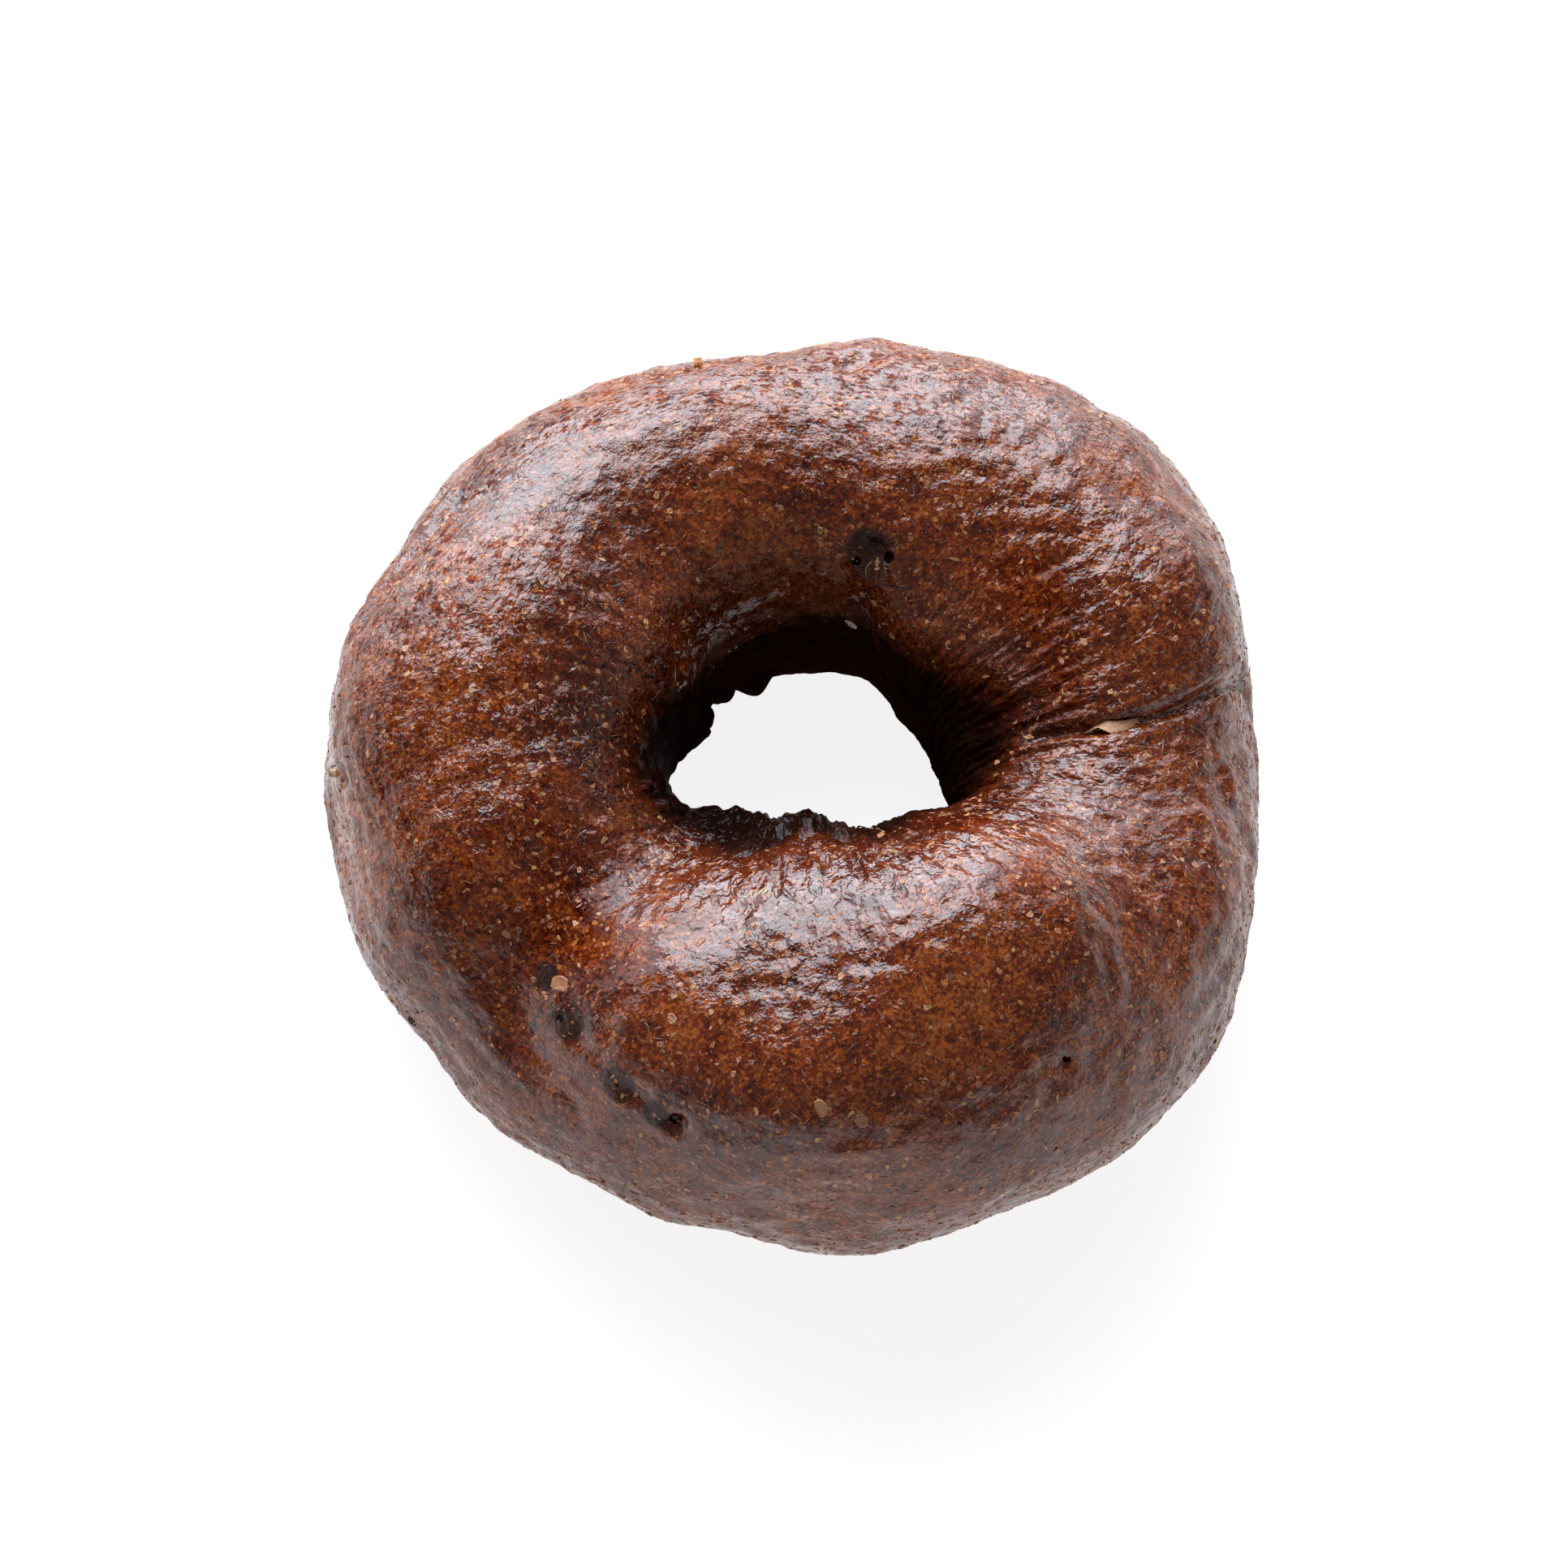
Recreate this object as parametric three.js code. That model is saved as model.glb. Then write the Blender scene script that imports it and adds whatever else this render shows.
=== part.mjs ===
// A dark wholegrain bagel: a hand-rolled ring of dough, boiled and then baked on a flat tray. It is
// one solid. The ring is uneven: it is thickest at the front, its hole is off centre and torn on the
// left, and its rolled ends are pinched together on the right, where a crease runs from the hole out
// to the rim.
//
// Units are millimetres. +Z is up, +Y points to the back, and the origin is the centre of the
// object's box at its base. "theta" goes round the ring, from +X towards +Y. "phi" goes round the
// dough: 0 at the rim, 90 on the crest, 180 at the wall of the hole and 270 under the base.

import * as THREE from "three";

const TURN = 2 * Math.PI;
const rad = THREE.MathUtils.degToRad;

// ---- Driving sizes ----

// Sizes of the ring, each given at sixteen stations, one every 22.5 degrees of theta from +X.
const OUTER_RADIUS = [54.8, 59.1, 64.1, 61, 57.7, 57.5, 57, 56.2, 54.7, 53.3, 51.9, 52.8, 56.7, 58.2, 58.6, 57.6];
const HOLE_RADIUS = [15.9, 14.6, 14.4, 16.7, 16, 16.4, 16.4, 13.8, 15.3, 15.7, 11, 10.7, 10.7, 14.4, 15.6, 18.5];
const CREST_HEIGHT = [32, 37, 38.5, 39, 37, 38.5, 40, 41.5, 41, 38, 33, 38, 42.5, 44.5, 42, 33.5];
// How far the crest stands outward of the middle between the rim and the wall of the hole.
const CREST_SHIFT = [1, 3, 1, -3, 1, 2, -1, 1, 2, 1, 3, 5, 4, 1, 0, 1];
const HOLE_CENTRE = { x: 1.7, y: 4.5 };

const WIDEST_LEVEL = 0.44; // the ring is widest at this share of its crest height
const BASE_DIP = 4; // how far the round dough would reach below the tray that flattens it
const BASE_ROUNDING = 1.2; // height over which the flat base turns into the round side

// Shallow swellings all over the ring.
const SWELL = { waves: 12, shortest: 15, longest: 32, height: 0.22, seed: 11 };

// The seam of the joined ends: its theta in degrees at sixteen stations, one every 22.5 degrees of
// phi from the rim, and the part of it, in degrees of phi, that shows as a crease.
const SEAM_THETA = [11, 12.5, 9.5, 3.9, -0.8, -3.2, -6, -8, -9, -8, -5, -1, 3, 6, 8.5, 10];
const SEAM_PHI = { from: 130, to: -6, steps: 14 };

// Creases, each along a path of [theta, phi] points in degrees. A lip is a fold raised beside the
// valley: on the left of the path's direction when positive, on its right when negative.
const CREASES = [
  // the seam
  {
    path: seamPath(),
    depth: 1.1,
    width: 0.9,
    lip: 0.5,
    lipWidth: 2.8,
  },
  // the fold along the right rim
  {
    path: [[6, 33], [1, 30], [356, 30], [348, 29], [337, 26], [327, 27], [321, 30]],
    depth: 0.4,
    width: 1.2,
    lip: -0.2,
    lipWidth: 3,
  },
  // the crease that runs down the right rim from the seam's end
  {
    path: [[359, 46], [357, 44], [353.6, 41], [351.6, 27], [350.8, 20], [350, 12]],
    depth: 0.6,
    width: 1.3,
    lip: 0.3,
    lipWidth: 2,
  },
  // the fold along the left back rim
  {
    path: [[137, 49], [145, 47], [154, 44], [162, 40], [168, 36]],
    depth: 1.1,
    width: 1.4,
    lip: -0.5,
    lipWidth: 3,
  },
  // the dent across the left front
  {
    path: [[219, 67], [224, 55], [231, 40], [238, 32], [245, 30]],
    depth: 0.8,
    width: 3.4,
    lip: 0,
    lipWidth: 1,
  },
];

// Dimples left by burst bubbles.
const DIMPLES = [
  { theta: 68, phi: 133, depth: 0.8, radius: 3.2 },
  { theta: 82, phi: 58, depth: 0.8, radius: 2.8 },
  { theta: 184, phi: 29, depth: 1.1, radius: 1.8 },
  { theta: 216, phi: 4, depth: 0.4, radius: 1.9 },
  { theta: 238, phi: 55, depth: 0.6, radius: 2.4 },
  { theta: 249, phi: 44, depth: 0.8, radius: 2.6 },
  { theta: 255, phi: 39, depth: 1.3, radius: 2.0 },
  { theta: 305, phi: 41, depth: 0.9, radius: 1.6 },
];

// The torn and gathered dough on the wall of the hole: its large lumps, then the small ones.
const LUMPS = [
  { theta: 110, phi: 203, height: 2.3, radius: 3.3 },
  { theta: 126, phi: 199, height: 1.6, radius: 3.2 },
  { theta: 138, phi: 196, height: 1.3, radius: 2.6 },
  { theta: 149, phi: 193, height: 1.7, radius: 4.2 },
  { theta: 168, phi: 188, height: 0.9, radius: 2.8 },
  { theta: 214, phi: 165, height: 0.3, radius: 2.4 },
  { theta: 231, phi: 158, height: 1.0, radius: 2.8 },
  { theta: 260, phi: 146, height: 1.2, radius: 2.1 },
  { theta: 272, phi: 145, height: 1.0, radius: 1.9 },
  { theta: 284, phi: 145, height: 0.9, radius: 2.3 },
  { theta: 309, phi: 142, height: 0.5, radius: 1.3 },
];
const CRUMBLE = { count: 70, smallest: 1.2, largest: 2.6, height: 0.5, seed: 23 };
const CRUMBLE_THETA = [85, 305]; // the part of the hole's wall that is torn, in degrees
const CRUMBLE_PHI = [150, 235];

// Faces of the solid. They crowd round the seam, whose slant they follow, and on the hole's wall.
const RING_STEPS = 160;
const DOUGH_STEPS = 36;
const CROWD_AT_SEAM = 0.4;
const CROWD_AT_HOLE = 0.35;

// ---- Tools ----

// A repeatable stream of draws from 0 to 1.
function draws(seed) {
  const MODULUS = 2147483647;
  const STEP = 48271;
  let state = seed;
  return () => {
    state = (state * STEP) % MODULUS;
    return state / MODULUS;
  };
}

// The smooth closed curve through a list of equally spaced stations, read at theta.
function round(stations, theta) {
  const n = stations.length;
  const t = ((((theta / TURN) * n) % n) + n) % n;
  const i = Math.floor(t);
  const f = t - i;
  const [a, b, c, d] = [-1, 0, 1, 2].map((k) => stations[(i + k + n) % n]);
  const curve = 2 * a - 5 * b + 4 * c - d;
  const twist = 3 * b - a - 3 * c + d;
  return b + 0.5 * ((c - a) * f + curve * f ** 2 + twist * f ** 3);
}

// A bump that is 1 at its centre and falls smoothly to 0 at a distance of 1.
function bump(distance) {
  return distance < 1 ? (1 - distance ** 2) ** 2 : 0;
}

// A height, with all that is below the tray lifted onto it.
function aboveTray(z) {
  if (z < -BASE_ROUNDING) return 0;
  return z > BASE_ROUNDING ? z : (z + BASE_ROUNDING) ** 2 / (4 * BASE_ROUNDING);
}

// The seam's [theta, phi] points from the hole to the rim, in degrees.
function seamPath() {
  const { from, to, steps } = SEAM_PHI;
  return Array.from({ length: steps }, (_, i) => {
    const phi = from + ((to - from) * i) / (steps - 1);
    return [round(SEAM_THETA, rad(phi)), phi];
  });
}

// ---- The smooth ring ----

// The point of the smooth ring at theta and phi, before the tray flattens its base.
function smoothPoint(theta, phi) {
  const rim = round(OUTER_RADIUS, theta);
  const hole = round(HOLE_RADIUS, theta);
  const crest = round(CREST_HEIGHT, theta);
  const widest = crest * WIDEST_LEVEL;
  const shift = (round(CREST_SHIFT, theta) / (rim - hole)) * Math.max(Math.sin(phi), 0) ** 2;
  const outward = (1 + Math.cos(phi)) / 2 + shift;
  const rise = Math.sin(phi) > 0 ? crest - widest : widest + BASE_DIP;
  return new THREE.Vector3(
    outward * rim * Math.cos(theta) + (1 - outward) * (HOLE_CENTRE.x + hole * Math.cos(theta)),
    outward * rim * Math.sin(theta) + (1 - outward) * (HOLE_CENTRE.y + hole * Math.sin(theta)),
    widest + rise * Math.sin(phi),
  );
}

// The direction that points straight out of the smooth ring.
function smoothNormal(theta, phi) {
  const STEP = 1e-3;
  const along = smoothPoint(theta + STEP, phi).sub(smoothPoint(theta - STEP, phi));
  const across = smoothPoint(theta, phi + STEP).sub(smoothPoint(theta, phi - STEP));
  return along.cross(across).normalize();
}

// ---- Its relief ----

const swells = (() => {
  const draw = draws(SWELL.seed);
  return Array.from({ length: SWELL.waves }, () => {
    const turn = TURN * draw();
    const up = 2 * draw() - 1;
    const flat = Math.sqrt(1 - up ** 2);
    const length = SWELL.shortest + (SWELL.longest - SWELL.shortest) * draw();
    const direction = new THREE.Vector3(flat * Math.cos(turn), flat * Math.sin(turn), up);
    return { wave: direction.multiplyScalar(TURN / length), phase: TURN * draw() };
  });
})();

const creases = CREASES.map((crease) => ({
  ...crease,
  points: crease.path.map(([theta, phi]) => smoothPoint(rad(theta), rad(phi))),
}));

const crumbs = (() => {
  const draw = draws(CRUMBLE.seed);
  const between = ([low, high]) => low + (high - low) * draw();
  return Array.from({ length: CRUMBLE.count }, () => ({
    theta: between(CRUMBLE_THETA),
    phi: between(CRUMBLE_PHI),
    radius: between([CRUMBLE.smallest, CRUMBLE.largest]),
    height: CRUMBLE.height * draw(),
  }));
})();

const spots = [
  ...DIMPLES.map((d) => ({ ...d, height: -d.depth })),
  ...LUMPS,
  ...crumbs,
].map((spot) => ({ ...spot, centre: smoothPoint(rad(spot.theta), rad(spot.phi)) }));

// How far a point is from a crease, on which side of it, and how far along it from 0 to 1.
function nearCrease(point, points, normal) {
  const nearest = new THREE.Vector3();
  const segment = new THREE.Line3();
  let found = { distance: Infinity, side: 0, along: 0 };
  for (let i = 0; i + 1 < points.length; i += 1) {
    segment.set(points[i], points[i + 1]);
    const share = segment.closestPointToPointParameter(point, true);
    segment.at(share, nearest);
    const offset = point.clone().sub(nearest);
    if (offset.length() < found.distance) {
      const left = normal.clone().cross(segment.delta(new THREE.Vector3())).normalize();
      found = {
        distance: offset.length(),
        side: offset.dot(left),
        along: (i + share) / (points.length - 1),
      };
    }
  }
  return found;
}

// The height that one crease adds: a valley that fades at its ends, and a fold beside it.
function creaseHeight(crease, point, normal) {
  const FADE = 0.17; // the share of the path over which each end fades
  const FOLD_REACH = 4; // how many lip widths away the fold ends
  const { distance, side, along } = nearCrease(point, crease.points, normal);
  const ends = THREE.MathUtils.smoothstep(Math.min(along, 1 - along), 0, FADE);
  const valley = -crease.depth * Math.exp(-((distance / crease.width) ** 2));
  const reach = (side * Math.sign(crease.lip)) / crease.lipWidth;
  if (reach <= 0) return ends * valley;
  const nearby = bump(distance / (FOLD_REACH * crease.lipWidth));
  return ends * (valley + Math.abs(crease.lip) * reach * Math.exp(1 - reach) * nearby);
}

// The height of all the relief above the smooth ring.
function relief(point, normal) {
  let height = 0;
  for (const { wave, phase } of swells) height += SWELL.height * Math.cos(wave.dot(point) + phase);
  for (const crease of creases) height += creaseHeight(crease, point, normal);
  for (const spot of spots) height += spot.height * bump(spot.centre.distanceTo(point) / spot.radius);
  return height;
}

// ---- The solid ----

// The ring as a torus whose vertices are moved to where the dough's surface is.
function bagelGeometry() {
  const geometry = new THREE.TorusGeometry(1, 0.4, DOUGH_STEPS, RING_STEPS);
  const { position, uv } = geometry.attributes;
  for (let i = 0; i < position.count; i += 1) {
    const u = TURN * (uv.getX(i) % 1);
    const v = TURN * (uv.getY(i) % 1);
    const phi = v + CROWD_AT_HOLE * Math.sin(v);
    const lean = (rad(round(SEAM_THETA, phi)) * (1 + Math.cos(u))) / 2;
    const theta = u - CROWD_AT_SEAM * Math.sin(u) + lean;
    const point = smoothPoint(theta, phi);
    const normal = smoothNormal(theta, phi);
    point.addScaledVector(normal, relief(point, normal));
    position.setXYZ(i, point.x, point.y, aboveTray(point.z));
  }
  geometry.computeBoundingBox();
  const middle = geometry.boundingBox.getCenter(new THREE.Vector3());
  geometry.translate(-middle.x, -middle.y, 0);
  geometry.computeVertexNormals();
  return geometry;
}

const crust = new THREE.MeshStandardMaterial({ color: 0x5c2f1c, roughness: 0.35, metalness: 0 });

const bagel = new THREE.Mesh(bagelGeometry(), crust);
bagel.name = "bagel";

const group = new THREE.Group();
group.add(bagel);

export default group;
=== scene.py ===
"""The looks of a dark wholegrain bagel: its glossy wrinkled crust with bran in it, on a white floor.

Shapes are worked out in millimetres, in the frame's axes, and scaled to metres as meshes are made.
"theta" goes round the ring from +X towards +Y. "phi" goes round the dough: 0 at the rim, 90 on the
crest, 180 at the wall of the hole and 270 under the base.
"""

import math

import bpy
import numpy as np
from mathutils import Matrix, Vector, noise


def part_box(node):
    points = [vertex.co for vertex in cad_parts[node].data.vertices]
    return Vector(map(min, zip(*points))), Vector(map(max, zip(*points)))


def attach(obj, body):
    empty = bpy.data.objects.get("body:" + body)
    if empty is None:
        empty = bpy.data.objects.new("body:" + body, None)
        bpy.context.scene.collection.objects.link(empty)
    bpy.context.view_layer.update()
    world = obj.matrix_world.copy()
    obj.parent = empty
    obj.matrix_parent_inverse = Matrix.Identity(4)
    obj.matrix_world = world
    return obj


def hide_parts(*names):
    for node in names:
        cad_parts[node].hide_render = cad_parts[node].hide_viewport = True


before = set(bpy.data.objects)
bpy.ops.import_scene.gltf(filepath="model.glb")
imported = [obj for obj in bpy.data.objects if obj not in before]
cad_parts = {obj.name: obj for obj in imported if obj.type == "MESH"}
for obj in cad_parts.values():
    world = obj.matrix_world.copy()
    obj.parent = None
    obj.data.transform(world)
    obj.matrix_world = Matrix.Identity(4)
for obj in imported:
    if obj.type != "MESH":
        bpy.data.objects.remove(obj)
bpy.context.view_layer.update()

MM = 0.001
TURN = 2 * math.pi

# ---- The ring's sizes ----

# Each at sixteen stations, one every 22.5 degrees of theta from +X.
OUTER_RADIUS = [54.8, 59.1, 64.1, 61, 57.7, 57.5, 57, 56.2, 54.7, 53.3, 51.9, 52.8, 56.7, 58.2, 58.6, 57.6]
HOLE_RADIUS = [15.9, 14.6, 14.4, 16.7, 16, 16.4, 16.4, 13.8, 15.3, 15.7, 11, 10.7, 10.7, 14.4, 15.6, 18.5]
CREST_HEIGHT = [32, 37, 38.5, 39, 37, 38.5, 40, 41.5, 41, 38, 33, 38, 42.5, 44.5, 42, 33.5]
# How far the crest stands outward of the middle between the rim and the wall of the hole.
CREST_SHIFT = [1, 3, 1, -3, 1, 2, -1, 1, 2, 1, 3, 5, 4, 1, 0, 1]
HOLE_CENTRE = (1.7, 4.5)

WIDEST_LEVEL = 0.44  # the ring is widest at this share of its crest height
BASE_DIP = 4  # how far the round dough would reach below the tray that flattens it
BASE_ROUNDING = 1.2  # height over which the flat base turns into the round side
RING_MIDDLE = 36  # radius of the ring, to the middle of the dough
DOUGH_MIDDLE = 20  # radius of the dough itself

# Shallow swellings all over the ring.
SWELL = {"waves": 12, "shortest": 15, "longest": 32, "height": 0.22, "seed": 11}

# The seam of the joined ends: its theta in degrees at sixteen stations of phi, and the part of it,
# in degrees of phi, that shows as a crease.
SEAM_THETA = [11, 12.5, 9.5, 3.9, -0.8, -3.2, -6, -8, -9, -8, -5, -1, 3, 6, 8.5, 10]
SEAM_PHI = np.linspace(130, -6, 14)

# Dimples left by burst bubbles: theta, phi, depth, radius.
DIMPLES = [
    (68, 133, 0.8, 3.2),
    (82, 58, 0.8, 2.8),
    (184, 29, 1.1, 1.8),
    (216, 4, 0.4, 1.9),
    (238, 55, 0.6, 2.4),
    (249, 44, 0.8, 2.6),
    (255, 39, 1.3, 2.0),
    (305, 41, 0.9, 1.6),
]

# The torn dough on the wall of the hole: theta, phi, height, radius of its large lumps, and the
# rule for its small ones.
LUMPS = [
    (110, 203, 2.3, 3.3),
    (126, 199, 1.6, 3.2),
    (138, 196, 1.3, 2.6),
    (149, 193, 1.7, 4.2),
    (168, 188, 0.9, 2.8),
    (214, 165, 0.3, 2.4),
    (231, 158, 1.0, 2.8),
    (260, 146, 1.2, 2.1),
    (272, 145, 1.0, 1.9),
    (284, 145, 0.9, 2.3),
    (309, 142, 0.5, 1.3),
]
CRUMBLE = {
    "count": 70, "theta": (85, 305), "phi": (150, 235), "radius": (1.2, 2.6), "height": 0.5, "seed": 23,
}

# ---- The crust's grid ----

RING_STEPS = 500
DOUGH_STEPS = 198
CROWD_AT_SEAM = 0.3
CROWD_AT_HOLE = 0.2
CROWD_ON_TOP = 0.25


# ---- Tools for shapes ----


def draws(seed):
    """A repeatable stream of draws from 0 to 1."""
    modulus, step, state = 2147483647, 48271, seed
    while True:
        state = state * step % modulus
        yield state / modulus


def station_curve(stations, angle):
    """The smooth closed curve through equally spaced stations, read at an angle in radians."""
    values = np.asarray(stations, float)
    n = len(values)
    t = (np.asarray(angle, float) / TURN * n) % n
    i = np.floor(t).astype(int)
    f = t - i
    a, b, c, d = (values[(i + k) % n] for k in (-1, 0, 1, 2))
    curve = 2 * a - 5 * b + 4 * c - d
    twist = 3 * b - a - 3 * c + d
    return b + 0.5 * ((c - a) * f + curve * f**2 + twist * f**3)


def bump(distance):
    """1 at no distance, falling smoothly to 0 at a distance of 1."""
    return np.clip(1 - distance**2, 0, None) ** 2


def smooth_step(x, low, high):
    t = np.clip((x - low) / (high - low), 0, 1)
    return t * t * (3 - 2 * t)


def unit(vectors):
    return vectors / np.linalg.norm(vectors, axis=-1, keepdims=True)


def above_tray(z):
    """A height, with all that is below the tray lifted onto it."""
    k = BASE_ROUNDING
    return np.where(z < -k, 0, np.where(z > k, z, (z + k) ** 2 / (4 * k)))


def grain(points, size, seed):
    """Noise from -1 to 1 at each point, with bumps about `size` mm across."""
    offset = Vector((13.7 * seed, -7.1 * seed, 3.3 * seed))
    flat = points.reshape(-1, 3) / size
    values = [noise.noise(Vector(p) + offset) for p in flat]
    return np.array(values).reshape(points.shape[:-1])


# ---- The smooth ring ----


def smooth_point(theta, phi):
    """The point of the smooth ring at theta and phi in radians, before the tray flattens it."""
    rim = station_curve(OUTER_RADIUS, theta)
    hole = station_curve(HOLE_RADIUS, theta)
    crest = station_curve(CREST_HEIGHT, theta)
    widest = crest * WIDEST_LEVEL
    shift = station_curve(CREST_SHIFT, theta) / (rim - hole) * np.clip(np.sin(phi), 0, None) ** 2
    outward = (1 + np.cos(phi)) / 2 + shift
    rise = np.where(np.sin(phi) > 0, crest - widest, widest + BASE_DIP)
    x = outward * rim * np.cos(theta) + (1 - outward) * (HOLE_CENTRE[0] + hole * np.cos(theta))
    y = outward * rim * np.sin(theta) + (1 - outward) * (HOLE_CENTRE[1] + hole * np.sin(theta))
    return np.stack([x, y, widest + rise * np.sin(phi)], axis=-1)


def smooth_normal(theta, phi):
    step = 1e-3
    along = smooth_point(theta + step, phi) - smooth_point(theta - step, phi)
    across = smooth_point(theta, phi + step) - smooth_point(theta, phi - step)
    return unit(np.cross(along, across))


def at_degrees(theta, phi):
    return smooth_point(np.radians(theta), np.radians(phi))


# ---- Large relief, which the solid has too ----


def swells(points):
    draw = draws(SWELL["seed"])
    height = np.zeros(points.shape[:-1])
    for _ in range(SWELL["waves"]):
        turn = TURN * next(draw)
        up = 2 * next(draw) - 1
        flat = math.sqrt(1 - up**2)
        length = SWELL["shortest"] + (SWELL["longest"] - SWELL["shortest"]) * next(draw)
        wave = np.array([flat * math.cos(turn), flat * math.sin(turn), up]) * TURN / length
        height += SWELL["height"] * np.cos(points @ wave + TURN * next(draw))
    return height


class Crease:
    """A valley along a path of (theta, phi) points in degrees, with a fold raised on one side."""

    FADE = 0.17  # the share of the path over which each end fades
    FOLD_REACH = 4  # how many lip widths away the fold ends

    def __init__(self, path, depth, width, lip=0, lip_width=1):
        self.line = np.array([at_degrees(*p) for p in path])
        self.depth, self.width, self.lip, self.lip_width = depth, width, lip, lip_width

    def near(self, points, normals):
        """For each point: its distance from the path, its side, and its share of the way along."""
        best = np.full(points.shape[:-1], np.inf)
        side, along = np.zeros_like(best), np.zeros_like(best)
        for i, (a, b) in enumerate(zip(self.line[:-1], self.line[1:])):
            share = np.clip((points - a) @ (b - a) / ((b - a) @ (b - a)), 0, 1)
            offset = points - a - share[..., None] * (b - a)
            distance = np.linalg.norm(offset, axis=-1)
            left = unit(np.cross(normals, b - a))
            closer = distance < best
            best = np.where(closer, distance, best)
            side = np.where(closer, (offset * left).sum(-1), side)
            along = np.where(closer, (i + share) / (len(self.line) - 1), along)
        return best, side, along

    def height(self, points, normals):
        distance, side, along = self.near(points, normals)
        ends = smooth_step(np.minimum(along, 1 - along), 0, self.FADE)
        valley = -self.depth * np.exp(-((distance / self.width) ** 2))
        reach = np.clip(side * np.sign(self.lip) / self.lip_width, 0, None)
        nearby = bump(distance / (self.FOLD_REACH * self.lip_width))
        return ends * (valley + abs(self.lip) * reach * np.exp(1 - reach) * nearby)


SEAM = Crease(
    path=[(station_curve(SEAM_THETA, math.radians(phi)), phi) for phi in SEAM_PHI],
    depth=1.1, width=0.9, lip=0.5, lip_width=2.8,
)
RIGHT_RIM_FOLD = Crease(
    path=[(6, 33), (1, 30), (356, 30), (348, 29), (337, 26), (327, 27), (321, 30)],
    depth=0.4, width=1.2, lip=-0.2, lip_width=3,
)
RIGHT_RIM_CREASE = Crease(
    path=[(359, 46), (357, 44), (353.6, 41), (351.6, 27), (350.8, 20), (350, 12)],
    depth=0.6, width=1.3, lip=0.3, lip_width=2,
)
LEFT_BACK_FOLD = Crease(
    path=[(137, 49), (145, 47), (154, 44), (162, 40), (168, 36)],
    depth=1.1, width=1.4, lip=-0.5, lip_width=3,
)
LEFT_FRONT_DENT = Crease(
    path=[(219, 67), (224, 55), (231, 40), (238, 32), (245, 30)], depth=0.8, width=3.4
)
CREASES = [SEAM, RIGHT_RIM_FOLD, RIGHT_RIM_CREASE, LEFT_BACK_FOLD, LEFT_FRONT_DENT]


def between(draw, low_high):
    low, high = low_high
    return low + (high - low) * next(draw)


def crumbs(rule):
    """Small lumps of torn dough: theta, phi, height, radius."""
    draw = draws(rule["seed"])
    for _ in range(rule["count"]):
        theta, phi, radius = (between(draw, rule[key]) for key in ("theta", "phi", "radius"))
        yield theta, phi, rule["height"] * next(draw), radius


def lumps(points, places):
    """The height of round lumps at places of theta, phi, height and radius."""
    height = np.zeros(points.shape[:-1])
    for theta, phi, rise, radius in places:
        distance = np.linalg.norm(points - at_degrees(theta, phi), axis=-1)
        height += rise * bump(distance / radius)
    return height


def large_relief(points, normals):
    height = swells(points)
    for crease in CREASES:
        height += crease.height(points, normals)
    dimples = [(theta, phi, -depth, radius) for theta, phi, depth, radius in DIMPLES]
    return height + lumps(points, [*dimples, *LUMPS, *crumbs(CRUMBLE)])


# ---- Fine relief, which only the looks have ----

BUCKLE = (6.5, 0.26)  # size and height of the broad unevenness, in mm
LEATHER = (3.4, 0.40)  # of the leathery bumps, which have sharp valleys between them
PUCKER = (1.6, 0.14)  # of the smallest bumps that the mesh can hold
STREAK_LONG, STREAK_SHORT, STREAK_HEIGHT = 4.6, 2.0, 0.22  # of the wrinkles along the ring
STREAK_RIM_PHI = (60, 30)  # they grow to twice that height between these, on the way to the rim
GATHER_LONG, GATHER_SHORT, GATHER_HEIGHT = 9.0, 2.3, 0.8  # of the folds gathered at the hole
FOLD_LEVEL = 0.3  # the share of that height at which a fold meets the plain skin
# Small lumps along the torn edge that faces up, in front of the hole.
TEAR = {
    "count": 44, "theta": (200, 300), "phi": (140, 172), "radius": (1.4, 2.6), "height": 0.9, "seed": 31,
}
# Broad low swellings and hollows: theta, phi, height, radius.
SWELLINGS = [(62, 34, 0.9, 11), (84, 38, 0.9, 9), (50, 38, -0.7, 8), (252, 109, -0.6, 9)]

# How the skin is gathered. The angles are in degrees, the shares from 0 to 1.
SEAM_REACH = 22  # how far from the seam
HOLE_BEGIN, HOLE_STOP = (85, 125), (235, 260)  # where phi passes onto the hole's wall and off it
GATHER_FRONT = 255  # the theta at which the edge of the hole has most of it
LEAST_AT_HOLE, MOST_AT_SEAM = 0.15, 0.45

# Where the gloss is broken into flecks.
FLECKED_THETA = 140
SHOULDER_BEGIN, SHOULDER_STOP = (20, 60), (95, 130)  # where phi passes onto the shoulder and off it
LEAST_FLECKED = 0.25


def gathering(theta, phi):
    """How much the skin is gathered, from 0 to 1: round the hole, most at the seam."""
    seam = np.radians(station_curve(SEAM_THETA, phi))
    off_seam = np.abs((theta - seam + math.pi) % TURN - math.pi)
    at_seam = np.exp(-((np.degrees(off_seam) / SEAM_REACH) ** 2))
    at_hole = smooth_step(np.degrees(phi), *HOLE_BEGIN) * (1 - smooth_step(np.degrees(phi), *HOLE_STOP))
    front = 0.5 + 0.5 * np.cos(theta - math.radians(GATHER_FRONT))
    round_hole = LEAST_AT_HOLE + (1 - LEAST_AT_HOLE) * np.maximum(front, at_seam)
    return np.clip(at_hole * round_hole + MOST_AT_SEAM * at_seam, 0, 1)


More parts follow.
